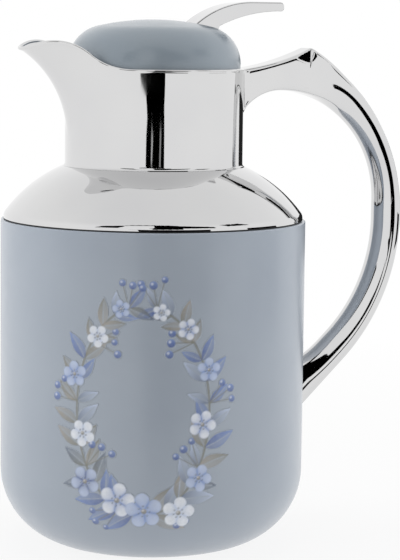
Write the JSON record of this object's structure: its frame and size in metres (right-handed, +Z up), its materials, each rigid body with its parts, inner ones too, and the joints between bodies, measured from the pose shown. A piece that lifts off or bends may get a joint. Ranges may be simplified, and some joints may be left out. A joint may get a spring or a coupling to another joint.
{
  "type": "insulated pouring jug",
  "caption": "Insulated pouring jug with a painted round body, bright shoulder, spouted neck and C-shaped handle, and a dome stopper whose thumb lever lifts a pouring valve.",
  "frame": {"origin": "on the floor under the jug's axis, in the plane of the rubber foot", "axes": "+Z up along the jug's axis, +X towards the handle, -X towards the spout, the XZ plane is the mirror plane"},
  "size_m": [0.2022, 0.146, 0.2606],
  "materials": {
    "paint": "satin",
    "lid_paint": "satin",
    "bright": "polished",
    "rubber": "matte",
    "plastic": "matte",
    "glass": "silvered",
    "steel": "bright"
  },
  "bodies": {
    "pot": {"body_shell": "paint", "seam_gasket": "rubber", "shoulder": "bright", "pouring_neck": "bright", "inner_collar": "plastic", "neck_seal": "rubber", "flask_inner_wall": "glass", "flask_outer_wall": "glass", "liner_cushion": "rubber", "base_cap": "plastic", "foot_ring": "rubber", "handle": "bright", "handle_screws": "steel"},
    "stopper_ring": {"stopper_gasket": "rubber"},
    "stopper": {"stopper_body": "plastic", "lid_dome": "lid_paint", "lid_screws": "steel", "lever_pin": "steel", "return_spring": "steel"},
    "lever": {"thumb_lever": "bright"},
    "valve": {"valve_rod": "steel", "rod_head": "plastic", "valve_disc": "plastic", "valve_gasket": "rubber"}
  },
  "joints": [
    {"name": "stopper_lift", "type": "slide", "parent": "pot", "child": "stopper_ring", "axis": [0, 0, 1], "range_m": [0, 0.12]},
    {"name": "stopper_turn", "type": "hinge", "parent": "stopper_ring", "child": "stopper", "pos_m": [0, 0, 0.178], "axis": [0, 0, 1], "range_deg": [0, 180]},
    {"name": "lever_press", "type": "hinge", "parent": "stopper", "child": "lever", "pos_m": [0.024, 0, 0.24], "axis": [0, 1, 0], "range_deg": [0, 9], "stiffness_Nm_per_rad": 0.25, "springref_deg": -45.84},
    {"name": "valve_lift", "type": "slide", "parent": "stopper", "child": "valve", "axis": [0, 0, 1], "range_m": [0, 0.0039], "deforming": ["return_spring"]}
  ],
  "couplings": [
    {"joint": "valve_lift", "follows": "lever_press", "m_per_rad": 0.024}
  ]
}
